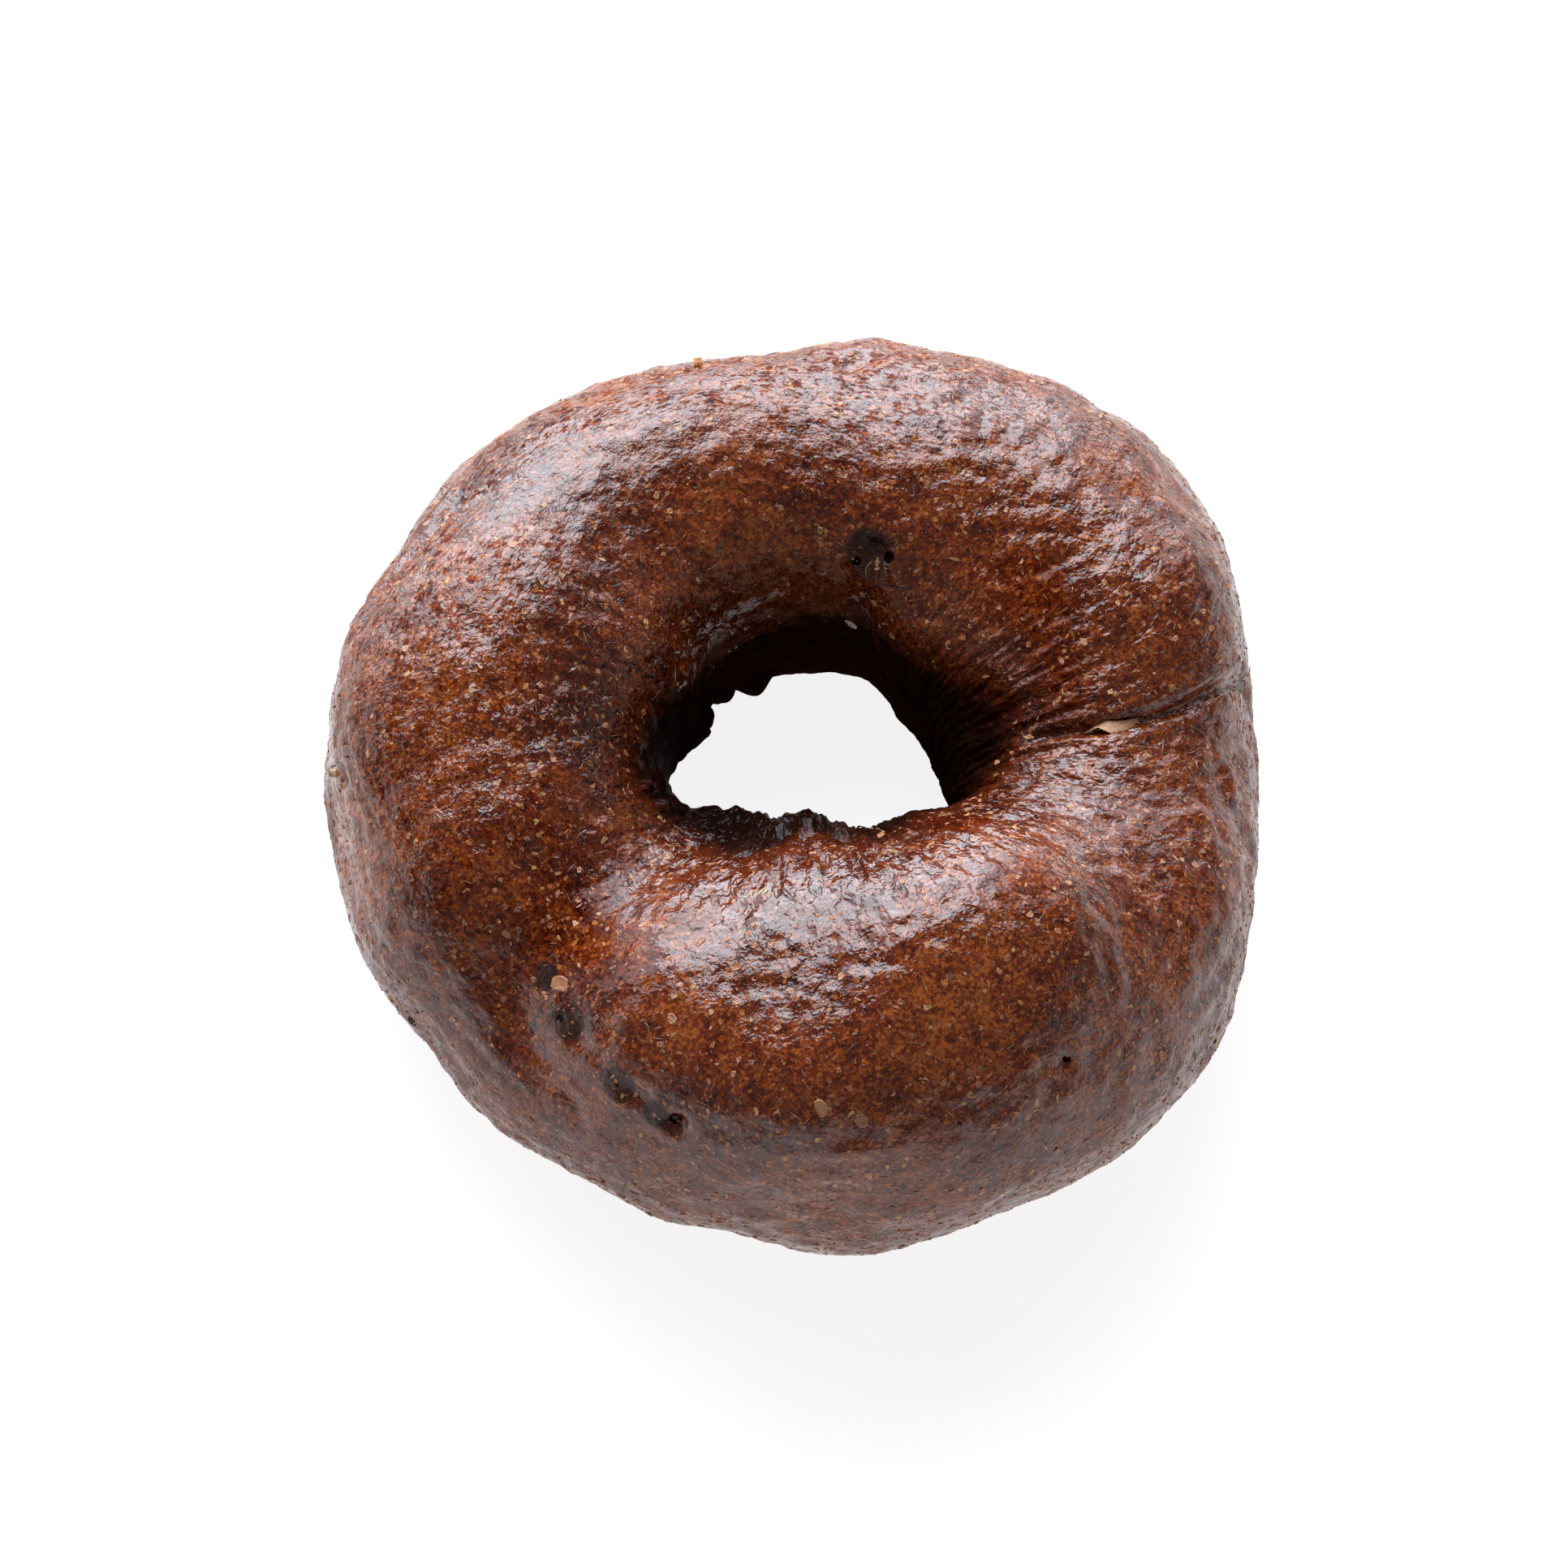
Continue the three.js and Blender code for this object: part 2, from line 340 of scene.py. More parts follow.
def flecking(theta, phi):
    """How much the gloss is broken into flecks, from 0 to 1: most on the back and left shoulders."""
    deg = np.degrees(phi)
    back_left = 0.5 + 0.5 * np.cos(theta - math.radians(FLECKED_THETA))
    shoulder = smooth_step(deg, *SHOULDER_BEGIN) * (1 - smooth_step(deg, *SHOULDER_STOP))
    return LEAST_FLECKED + (1 - LEAST_FLECKED) * smooth_step(back_left, 0.3, 0.8) * shoulder


def fine_relief(points, u, phi, gather):
    """Wrinkles and bumps. u is the way round the ring from the seam, in radians."""
    out = np.linalg.norm(points[..., :2], axis=-1)
    up = points[..., 2]
    along = u * RING_MIDDLE
    height = BUCKLE[1] * grain(points, BUCKLE[0], 1)
    height += LEATHER[1] * np.abs(grain(points, LEATHER[0], 2))
    height += PUCKER[1] * grain(points, PUCKER[0], 5)
    runs = np.stack([along / STREAK_LONG, out / STREAK_SHORT, up / STREAK_SHORT], axis=-1)
    rim = smooth_step(np.degrees(phi), *STREAK_RIM_PHI)
    height += STREAK_HEIGHT * (1 + rim) * (1 - gather) * np.abs(grain(runs, 1, 3))
    folds = np.stack([along / GATHER_SHORT, out / GATHER_LONG, up / GATHER_LONG], axis=-1)
    height += GATHER_HEIGHT * gather * (FOLD_LEVEL - np.abs(grain(folds, 1, 4)))
    return height + lumps(points, [*SWELLINGS, *crumbs(TEAR)])


# Where the crust is paler or, below 0, darker: theta, phi, reach in mm, strength. These are partly uneven
# browning and partly painted light and shade, with a painted highlight at theta 352, phi 151.
TINTS_AND_PAINTED_LIGHT = [
    (181, 91, 16, 0.015), (190, 20, 16, 0.03), (112, 122, 11, 0.045), (99, 150, 11, 0.055),
    (294, 68, 12, 0.075), (40, 142, 11, 0.04), (42, 77, 12, 0.02), (191, 124, 11, -0.09),
    (224, 148, 11, -0.12), (223, 96, 9, -0.05), (137, 64, 16, -0.04), (150, 108, 9, -0.04),
    (274, 108, 16, -0.045), (249, 100, 6, 0.02), (229, 26, 8, -0.04), (325, 127, 9, -0.07),
    (300, 140, 8, -0.06), (234, 62, 9, -0.03), (254, 77, 8, 0.02), (352, 151, 6, 0.06),
    (86, 146, 9, 0.03), (77, 163, 8, 0.04), (214, 70, 9, 0.03), (184, 352, 9, -0.04),
    (278, 20, 12, 0.015), (118, 50, 9, 0.02), (20, 108, 8, -0.02), (256, 45, 7, -0.03),
    (2, 121, 9, -0.06), (92, 40, 14, -0.03), (280, 44, 14, 0.02), (198, 60, 10, 0.02),
    (30, 66, 9, -0.03), (322, 58, 9, -0.025), (60, 80, 14, -0.02),
]

# Where it is less glossy or, below 0, where its gloss isn't broken up, in the same way.
MATT_SPOTS = [
    (225, 84, 10, 0.8), (244, 103, 6, 0.45), (236, 79, 8, 0.55), (314, 91, 8, 0.65), (319, 127, 7, 0.5),
    (6, 109, 9, 0.75), (31, 116, 10, 0.7), (20, 108, 8, 0.4), (264, 127, 7, 0.5), (322, 52, 9, 0.35),
    (224, 107, 7, 0.3), (241, 122, 6, 0.4), (309, 139, 7, 0.6), (318, 128, 7, 0.5), (158, 78, 8, 0.35),
    (184, 356, 8, 0.5), (148, 70, 7, -0.6), (139, 72, 7, -0.8), (130, 78, 7, -0.9), (119, 87, 7, -0.9),
    (109, 94, 6, -0.8),
]


def strength_of(spots, points):
    """How strongly the spots mark each point, fading from the middle of a spot to its reach."""
    return lumps(points, [(theta, phi, strength, reach) for theta, phi, reach, strength in spots])


# ---- The crust ----


def ring_theta(u, phi):
    """The theta of the grid's column u where it passes phi. Columns follow the seam's slant."""
    lean = np.radians(station_curve(SEAM_THETA, phi)) * (1 + np.cos(u)) / 2
    return u - CROWD_AT_SEAM * np.sin(u) + lean


def dough_phi(v):
    return v + CROWD_AT_HOLE * np.sin(v) + CROWD_ON_TOP * np.cos(v)


def crust_grid():
    """The crust's points, and what is known of each: its u, v, theta, phi and gathering."""
    u = np.arange(RING_STEPS) / RING_STEPS * TURN
    v = (np.arange(DOUGH_STEPS) / DOUGH_STEPS - 0.25) * TURN
    u, v = np.meshgrid(u, v, indexing="ij")
    phi = dough_phi(v)
    theta = ring_theta(u, phi)
    points = smooth_point(theta, phi)
    normals = smooth_normal(theta, phi)
    gather = gathering(theta, phi)
    height = large_relief(points, normals) + fine_relief(points, u, phi, gather)
    points = points + height[..., None] * normals
    points[..., 2] = above_tray(points[..., 2])
    return points, u, v, theta, phi, gather


def grid_faces(columns, rows):
    """Quads of a grid that closes on itself both ways, facing out."""
    i, j = np.meshgrid(np.arange(columns), np.arange(rows), indexing="ij")
    i2, j2 = (i + 1) % columns, (j + 1) % rows
    return np.stack([i * rows + j, i2 * rows + j, i2 * rows + j2, i * rows + j2], axis=-1).reshape(-1, 4)


def new_object(name, points, faces):
    mesh = bpy.data.meshes.new(name)
    mesh.from_pydata((np.asarray(points) * MM).tolist(), [], [list(map(int, face)) for face in faces])
    mesh.shade_smooth()
    mesh.update()
    piece = bpy.data.objects.new(name, mesh)
    bpy.context.scene.collection.objects.link(piece)
    return piece


def frame_centred(points):
    """The points moved so that their middle is the CAD node's."""
    low, high = (np.array(corner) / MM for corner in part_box("bagel"))
    middle = (low + high) / 2 - (points.min(0) + points.max(0)) / 2
    return np.array([middle[0], middle[1], 0])


def add_point_values(piece, name, values):
    piece.data.attributes.new(name, "FLOAT", "POINT").data.foreach_set("value", values.ravel())


def add_surface_way(crust, u, v):
    """Stores at each corner how far it is round the ring and round the dough, in metres."""
    columns, rows = u.shape
    corners = grid_faces(columns, rows)
    ways = np.stack([u.ravel()[corners] * RING_MIDDLE, v.ravel()[corners] * DOUGH_MIDDLE], axis=-1)
    lap = np.array([TURN * RING_MIDDLE, TURN * DOUGH_MIDDLE])
    ways += np.where(ways[:, :1] - ways > lap / 2, lap, 0)
    ways = np.concatenate([ways, np.zeros((*ways.shape[:2], 1))], axis=-1)
    layer = crust.data.attributes.new("way", "FLOAT_VECTOR", "CORNER")
    layer.data.foreach_set("vector", (ways * MM).ravel())


# The phi at which the skin of the hole's wall is half torn and half painted nearly black as shade, at
# sixteen stations of theta.
TORN_PHI = [131, 152, 160, 165, 163, 172, 175, 164, 154, 143, 142, 137, 143, 145, 150, 148]
TORN_REACH = (-22, 14)  # where it begins to be torn and painted dark as shade, and is fully so, from there
HOLE_SHADE_REACH = (-45, -5)  # where the painted shade towards the hole begins and is full, from there
TORN_END = (245, 262)  # the phi at which that stops again, under the base
FRONT_THETA = 245  # the middle of the front of the hole


class Crust:
    """The crust's mesh, which other pieces can be laid on."""

    def __init__(self):
        points, self.u, self.v, self.theta, self.phi, gather = crust_grid()
        self.points = points + frame_centred(points.reshape(-1, 3))
        self.piece = new_object("crust", self.points.reshape(-1, 3), grid_faces(*self.u.shape))
        along = np.roll(self.points, -1, 0) - np.roll(self.points, 1, 0)
        across = np.roll(self.points, -1, 1) - np.roll(self.points, 1, 1)
        self.normals = unit(np.cross(along, across) + 1e-9)
        self.areas = np.linalg.norm(np.cross(along, across), axis=-1)
        inward = np.degrees(self.phi) - station_curve(TORN_PHI, self.theta)
        above = 1 - smooth_step(np.degrees(self.phi), *TORN_END)
        self.torn = smooth_step(inward, *TORN_REACH) * above
        marks = {
            "gather": gather,
            "tint_and_painted_light": strength_of(TINTS_AND_PAINTED_LIGHT, points),
            "matt": strength_of(MATT_SPOTS, points),
            "front": np.clip(np.cos(self.theta - math.radians(FRONT_THETA)), 0, 1) ** 2,
            "torn": self.torn,
            "hole_shade": smooth_step(inward, *HOLE_SHADE_REACH) * above,
            "flecked": flecking(self.theta, self.phi),
        }
        for name, values in marks.items():
            add_point_values(self.piece, name, values)
        add_surface_way(self.piece, self.u, self.v)

    def read(self, values, column, row):
        """A grid of values between its points. column and row may be fractions."""
        i, j = int(math.floor(column)), int(math.floor(row))
        f, g = column - i, row - j
        columns, rows = self.u.shape
        a, b = values[i % columns], values[(i + 1) % columns]
        near = a[j % rows] * (1 - g) + a[(j + 1) % rows] * g
        far = b[j % rows] * (1 - g) + b[(j + 1) % rows] * g
        return near * (1 - f) + far * f

    def place(self, column, row):
        """The point of the crust and the direction out of it."""
        return self.read(self.points, column, row), unit(self.read(self.normals, column, row))

    def at(self, theta, phi):
        """The same at theta and phi in degrees."""
        columns, rows = self.u.shape
        v = np.linspace(-0.25, 0.75, 4 * rows) * TURN
        row = (np.interp(math.radians(phi), dough_phi(v), v) / TURN + 0.25) * rows
        u = np.linspace(-0.1, 1.1, 4 * columns) * TURN
        column = np.interp(math.radians(theta % 360), ring_theta(u, math.radians(phi)), u) / TURN * columns
        return self.place(column, row)

    def spread(self, count, draw, liking):
        """Random places on the crust, more of them where `liking` is high."""
        chance = np.cumsum((self.areas * liking).ravel())
        chance /= chance[-1]
        rows = self.u.shape[1]
        for _ in range(count):
            cell = int(np.searchsorted(chance, next(draw)))
            yield self.place(cell // rows + next(draw), cell % rows + next(draw))


# ---- What lies on the crust ----


def surface_axes(normal, turn):
    """Two directions along the surface, the first turned by `turn` from the level one."""
    level_way = unit(np.cross([0, 0, 1], normal) + [1e-6, 0, 0])
    other = np.cross(normal, level_way)
    first = math.cos(turn) * level_way + math.sin(turn) * other
    return first, np.cross(normal, first)


FLAKE_SIDES, LARGE_SIDES = 6, 14
FLAKE_ROOT = 0.08  # how deep a flake's edge is baked into the crust
FLAKE_LEAN = 0.16  # how steeply a flake may lean
FLAKE_REACH = (0.6, 1.4)  # how far its corners reach, as shares of its half length and half width
# A flake's rings from its edge inwards: their size, their height and how much darker they are.
FLAKE_RINGS = ((0.90, 1.0, 0.0), (0.66, 0.45, 0.2))


def flake(place, draw, length, width, thickness, sides=FLAKE_SIDES):
    """An uneven scale whose rim stands a little above its middle: points, faces and shades."""
    point, normal = place
    first, second = surface_axes(normal, TURN * next(draw))
    lean = FLAKE_LEAN * (2 * next(draw) - 1)
    reaches = [between(draw, FLAKE_REACH) for _ in range(sides)]
    if sides > FLAKE_SIDES:  # a large scale's outline runs more smoothly
        reaches = [(reaches[k - 1] + 2 * reaches[k] + reaches[(k + 1) % sides]) / 4 for k in range(sides)]
    angles = [TURN * (k + 0.5 * next(draw)) / sides for k in range(sides)]
    rings = [(1.0, -FLAKE_ROOT, 0.0)] + [(size, rise * thickness, dark) for size, rise, dark in FLAKE_RINGS]
    points, shades = [], []
    for size, height, dark in rings:
        for angle, reach in zip(angles, reaches):
            x = size * reach * length / 2 * math.cos(angle)
            y = size * reach * width / 2 * math.sin(angle)
            points.append(point + first * x + second * y + normal * (height + lean * x))
            shades.append(-dark)
    points.append(point + normal * thickness * FLAKE_RINGS[-1][1])
    shades.append(-FLAKE_RINGS[-1][2])
    faces = []
    for ring_no in range(len(rings) - 1):
        low, high = ring_no * sides, (ring_no + 1) * sides
        for k in range(sides):
            k2 = (k + 1) % sides
            faces.append((low + k, low + k2, high + k2, high + k))
    top = (len(rings) - 1) * sides
    faces += [(top + k, top + (k + 1) % sides, top + sides) for k in range(sides)]
    return points, faces, shades


FIBRE_STEPS = 7
FIBRE_ROOT = 0.05  # how deep a fibre's sides are baked into the crust
FIBRE_RISE = 0.45  # how high it stands, as a share of its width
FIBRE_CURL = 4.5  # the most that it turns along its length, in radians
FIBRE_TIP = 0.06  # the square of its width at its ends, as a share of its full width


def fibre(place, draw, length, width, turn=None):
    """A curled thread lying on the crust, with a roof-shaped section: points, faces and shades."""
    point, normal = place
    first, second = surface_axes(normal, TURN * next(draw) if turn is None else turn)
    curl = FIBRE_CURL * (2 * next(draw) - 1) ** 3
    points, faces = [], []
    x = y = 0.0
    for i in range(FIBRE_STEPS + 1):
        share = i / FIBRE_STEPS
        angle = curl * (share - 0.5)
        ahead = math.cos(angle) * first + math.sin(angle) * second
        aside = np.cross(normal, ahead)
        x += math.cos(angle) * length / FIBRE_STEPS
        y += math.sin(angle) * length / FIBRE_STEPS
        away = math.hypot(x - length / 2, y)
        middle = point + first * (x - length / 2) + second * y - normal * (away**2 / (2 * DOUGH_MIDDLE))
        taper = math.sqrt(max(FIBRE_TIP, 1 - (2 * share - 1) ** 2))
        side = aside * width / 2 * taper
        points += [middle - side - normal * FIBRE_ROOT, middle + normal * width * FIBRE_RISE * taper,
                   middle + side - normal * FIBRE_ROOT]
    for i in range(FIBRE_STEPS):
        a, b = 3 * i, 3 * i + 3
        faces += [(a, b, b + 1, a + 1), (a + 1, b + 1, b + 2, a + 2)]
    return points, faces, [0.0] * len(points)


LEAF_COLUMNS = 6
LEAF_ROOT = 0.35  # the share of its width that lies on the near side of the path
LEAF_EDGE_SHADE = -0.9  # how much darker its edges are


def torn_leaf(crust, path, width, rise, lift):
    """A leaf of skin torn up along a path of (theta, phi) points: points, faces and shades."""
    places = [crust.at(*spot) for spot in path]
    points, faces, shades = [], [], []
    for i, (point, normal) in enumerate(places):
        before, after = places[max(i - 1, 0)][0], places[min(i + 1, len(places) - 1)][0]
        aside = unit(np.cross(normal, after - before))
        fullness = math.sin(math.pi * (i + 0.35) / (len(places) - 0.3))  # wide nearly to its ends
        for j in range(LEAF_COLUMNS):
            share = j / (LEAF_COLUMNS - 1)
            height = rise * fullness + lift * fullness * share**1.5
            points.append(point + aside * width * fullness * (LEAF_ROOT - share) + normal * height)
            at_edge = j in (0, LEAF_COLUMNS - 1) or i in (0, len(places) - 1)
            shades.append(LEAF_EDGE_SHADE if at_edge else 0.0)
    for i in range(len(places) - 1):
        for j in range(LEAF_COLUMNS - 1):
            a, b = i * LEAF_COLUMNS + j, (i + 1) * LEAF_COLUMNS + j
            faces.append((a, a + 1, b + 1, b))
    return points, faces, shades


def join(parts):
    """Many small meshes as one list of points and one of faces."""
    points, faces = [], []
    for part_points, part_faces, _ in parts:
        start = len(points)
        points += part_points
        faces += [tuple(start + k for k in face) for face in part_faces]
    return points, faces


# ---- Materials ----


def new_material(name):
    material = bpy.data.materials.new(name)
    material.use_nodes = True
    material.node_tree.nodes.clear()
    return material, material.node_tree


def add(tree, kind, inputs=None, **settings):
    """Adds a shader node. Each input is a number, a colour, or another node's output."""
    node = tree.nodes.new("ShaderNode" + kind)
    for key, value in settings.items():
        setattr(node, key, value)
    for socket, value in (inputs or {}).items():
        if isinstance(value, bpy.types.NodeSocket):
            tree.links.new(value, node.inputs[socket])
        else:
            node.inputs[socket].default_value = value
    return node


def shade(tree, inputs):
    """Ends a material with one shader, which has these inputs."""
    shader = add(tree, "BsdfPrincipled", inputs)
    out = add(tree, "OutputMaterial")
    tree.links.new(shader.outputs["BSDF"], out.inputs["Surface"])


def rgb(red, green, blue):
    """A colour as it shows on a screen, from 0 to 255, as linear light."""
    shown = [red / 255, green / 255, blue / 255]
    return (*(c / 12.92 if c <= 0.04045 else ((c + 0.055) / 1.055) ** 2.4 for c in shown), 1)


def ramp(tree, factor, stops):
    node = add(tree, "ValToRGB", {"Fac": factor})
    elements = node.color_ramp.elements
    while len(elements) < len(stops):
        elements.new(0.5)
    for element, (position, colour) in zip(elements, stops):
        element.position, element.color = position, colour
    return node.outputs["Color"]


def mix(tree, factor, first, second):
    """The first colour, with the second over it as strongly as the factor says."""
    return add(tree, "Mix", {0: factor, 6: first, 7: second}, data_type="RGBA").outputs[2]


def maths(tree, operation, *values):
    return add(tree, "Math", dict(enumerate(values)), operation=operation).outputs[0]


def total(tree, *values):
    """The sum of numbers, or of (number, weight) pairs."""
    result = 0.0
    for value in values:
        if isinstance(value, tuple):
            value = maths(tree, "MULTIPLY", *value)
        result = maths(tree, "ADD", result, value)
    return result


def product(tree, *values):
    result = values[0]
    for value in values[1:]:
        result = maths(tree, "MULTIPLY", result, value)
    return result


def less(tree, value):
    """1 minus the value."""
    return maths(tree, "SUBTRACT", 1.0, value)


def level(tree, value, low, high):
    """0 where the value is under low, 1 where it is over high, and smooth between."""
    inputs = {"Value": value, "From Min": low, "From Max": high}
    return add(tree, "MapRange", inputs, interpolation_type="SMOOTHSTEP").outputs["Result"]


def vectors(tree, operation, first, second, output="Vector"):
    return add(tree, "VectorMath", {0: first, 1: second}, operation=operation).outputs[output]


def channel(tree, colour, name):
    return add(tree, "SeparateColor", {"Color": colour}).outputs[name]


def noise_of(tree, vector, size_mm, detail=2.0, roughness=0.5, distortion=0.0):
    inputs = {"Vector": vector, "Scale": 1 / (size_mm * MM), "Detail": detail,
              "Roughness": roughness, "Distortion": distortion}
    return add(tree, "TexNoise", inputs).outputs["Fac"]


def cells_of(tree, vector, size_mm, **settings):
    """The outputs of a texture of uneven cells of about this size."""
    return add(tree, "TexVoronoi", {"Vector": vector, "Scale": 1 / (size_mm * MM)}, **settings).outputs


HALF_EACH_WAY = (0.5, 0.5, 0.5)


def stretched(tree, vector, along, across):
    """The vector scaled so that a texture is this many times longer each way."""
    return vectors(tree, "MULTIPLY", vector, (1 / along, 1 / across, 1.0))


def shifted(tree, vector, amount):
    """The vector moved, so that a texture read from it is another piece of the same kind."""
    return vectors(tree, "ADD", vector, (amount * MM,) * 3)


def wobbled(tree, vector, size_mm, reach_mm):
    """The vector pushed about, so that the edges in a texture become uneven."""
    inputs = {"Vector": vector, "Scale": 1 / (size_mm * MM), "Detail": 1.0}
    push = vectors(tree, "SUBTRACT", add(tree, "TexNoise", inputs).outputs["Color"], HALF_EACH_WAY)
    push = add(tree, "VectorMath", {0: push, "Scale": 2 * reach_mm * MM}, operation="SCALE").outputs[0]
    return vectors(tree, "ADD", vector, push)


def near_spots(tree, here, spots):
    """How deep each place is inside the nearest spot: 1 at its middle and 0 at its edge or beyond."""
    found = 0.0
    for (point, _), radius in spots:
        distance = vectors(tree, "DISTANCE", here, tuple(point * MM), "Value")
        depth = less(tree, maths(tree, "DIVIDE", distance, radius * MM))
        found = maths(tree, "MAXIMUM", found, depth)
    return found


SKIN_TONES = [
    (0.39, rgb(44, 11, 4)), (0.45, rgb(76, 23, 6)), (0.52, rgb(110, 43, 12)), (0.60, rgb(164, 84, 32)),
]
SPECK_TONES = [
    (0.0, rgb(92, 36, 8)), (0.5, rgb(136, 66, 16)), (0.8, rgb(176, 106, 44)), (1.0, rgb(206, 154, 98)),
]
CRACK_SHADE_COLOUR = rgb(42, 9, 4)
HOLE_SHADE_COLOUR = rgb(56, 26, 18)
HOLLOW_SHADE_COLOUR = rgb(44, 31, 27)
BLACK_SHADE_COLOUR = rgb(15, 7, 5)
SIDE_MATT = (0.008, 0.024)  # the heights, in metres, between which the side's gloss comes up


def crust_material(pits, shaded_hollows):
    material, tree = new_material("crust")
    here = add(tree, "TexCoord").outputs["Object"]
    way = add(tree, "Attribute", attribute_name="way").outputs["Vector"]
    gather, torn, hole_shade, front, tinted_and_painted_light, matt, flecked = (
        add(tree, "Attribute", attribute_name=name).outputs["Fac"]
        for name in ("gather", "torn", "hole_shade", "front", "tint_and_painted_light", "matt", "flecked")
    )
    low = less(tree, level(tree, add(tree, "SeparateXYZ", {0: here}).outputs["Z"], *SIDE_MATT))
    uneven = wobbled(tree, here, 0.5, 0.25)

    # Browning: broad patches, blotches, and the grain that shows through the skin, which is
    # fainter where the skin is gathered and low on the side.
    patches = noise_of(tree, here, 12, detail=2)
    blotches = noise_of(tree, here, 2.6, detail=3, roughness=0.6)
    grains = noise_of(tree, uneven, 0.42, detail=3, roughness=0.7)
    grit = channel(tree, cells_of(tree, uneven, 0.42)["Color"], "Red")
    faint = maths(tree, "MAXIMUM", product(tree, gather, 0.3), product(tree, low, 0.35))
    speckle = product(tree, less(tree, faint), total(tree, (grains, 0.34), (grit, 0.11), -0.225))
    # The tone takes in the tints, which are partly painted light and shade.
    tone = total(tree, (patches, 0.12), (blotches, 0.24), speckle, tinted_and_painted_light, 0.315)
    colour = ramp(tree, tone, SKIN_TONES)

    # Specks of bran under the skin, each with a tone of its own.
    cells = cells_of(tree, uneven, 0.8)
    size = total(tree, (channel(tree, cells["Color"], "Red"), 0.72), -0.26)
    speck = level(tree, maths(tree, "SUBTRACT", size, cells["Distance"]), 0.0, 0.08)
    bran_tone = total(tree, (channel(tree, cells["Color"], "Green"), 0.7), (grains, 0.5), -0.1)
    colour = mix(tree, product(tree, speck, 0.8), colour, ramp(tree, bran_tone, SPECK_TONES))

    # Thin cracks between plates, where the skin is gathered, painted dark as the shade in them.
    plates = wobbled(tree, stretched(tree, way, 1.0, 1.7), 1.6, 1.1)
    edges = cells_of(tree, plates, 2.7, feature="DISTANCE_TO_EDGE")["Distance"]
    scattered = level(tree, noise_of(tree, shifted(tree, here, 57), 1.8, detail=2), 0.50, 0.64)
    crack = less(tree, level(tree, edges, 0.01, 0.05))
    crack = product(tree, crack, level(tree, gather, 0.1, 0.5), scattered)
    colour = mix(tree, product(tree, crack, 0.6), colour, CRACK_SHADE_COLOUR)

    # Painted shade: the skin is painted darker towards the hole, greyed as a painted dull sheen, and its
    # torn wall and the pits are painted nearly black.
    colour = mix(tree, product(tree, hole_shade, 0.3), colour, HOLE_SHADE_COLOUR)
    pit = near_spots(tree, here, pits)
    hollow_shade = near_spots(tree, here, shaded_hollows)
    # Painted shade: the torn wall, with a ragged edge, and the pits are painted nearly black.
    ragged = total(tree, torn, (blotches, 1.2), -0.6)
    black_shade = maths(tree, "MAXIMUM", level(tree, ragged, 0.1, 0.8), level(tree, pit, 0.05, 0.4))
    # Painted shade: the hollows are painted dark grey-brown.
    hollow_shaded = level(tree, total(tree, hollow_shade, (blotches, 0.5), -0.25), 0.0, 0.3)
    colour = mix(tree, product(tree, hollow_shaded, 0.85), colour, HOLLOW_SHADE_COLOUR)
    colour = mix(tree, product(tree, black_shade, 0.93), colour, BLACK_SHADE_COLOUR)

    # Where the skin is flecked, it shines only on its small smooth tops.
    tops = noise_of(tree, stretched(tree, way, 1.5, 1.0), 0.6, detail=3, roughness=0.65, distortion=0.2)
    clusters = noise_of(tree, shifted(tree, here, 91), 2.4, detail=2, roughness=0.6)
    dull = less(tree, level(tree, total(tree, tops, (clusters, 0.7)), 0.74, 0.86))
    dull = product(tree, dull, flecked, level(tree, matt, -0.8, 0.0))

    # Each flake of bran under the skin tilts it a little its own way.
    off_middle = vectors(tree, "SUBTRACT", uneven, cells["Position"])
    tilt = vectors(tree, "SUBTRACT", cells["Color"], HALF_EACH_WAY)
    facets = product(tree, vectors(tree, "DOT_PRODUCT", off_middle, tilt, "Value"), 1 / MM)

    # The skin's finest relief, in mm.
    folds = noise_of(tree, stretched(tree, way, 1.0, 1.5), 1.7, detail=2, roughness=0.5, distortion=0.3)
    small_ones = noise_of(tree, here, 0.8, detail=2, roughness=0.6)
    pores = noise_of(tree, here, 0.3, detail=1, roughness=0.6)
    relief = total(
        tree, (folds, total(tree, 0.20, (gather, 0.45))), (small_ones, total(tree, 0.10, (flecked, 0.09))),
        (tops, product(tree, flecked, 0.10)), (facets, 0.07), (crack, -0.06), (pores, 0.010),
        (level(tree, pit, 0.0, 0.6), -0.5),
    )
    bumps = add(tree, "Bump", {"Height": relief, "Distance": MM, "Strength": 1.0}).outputs["Normal"]

    # The torn wall is matt, but less so in front, and so are the low side, the hollows painted with shade
    # and the spots.
    wall = product(tree, level(tree, torn, 0.0, 0.35), less(tree, product(tree, front, 0.6)), 0.95)
    black_shade_matt = product(tree, black_shade, less(tree, product(tree, front, 0.35)))
    spots = level(tree, total(tree, matt, (clusters, 0.6), -0.3), 0.0, 0.9)
    low_matt = product(tree, low, total(tree, 0.1, (level(tree, clusters, 0.42, 0.58), 0.5)))
    gloss = product(
        tree, less(tree, black_shade_matt), less(tree, spots), less(tree, wall), less(tree, low_matt),
        less(tree, product(tree, hollow_shaded, 0.5)), less(tree, product(tree, crack, 0.6)),
        less(tree, product(tree, dull, 0.9)),
    )
    shade(tree, {
        "Base Color": colour, "Roughness": 0.6, "Specular IOR Level": 0.0, "Normal": bumps,
        "Coat Weight": gloss, "Coat Roughness": 0.08, "Coat IOR": 1.6, "Coat Normal": bumps,
    })
    return material


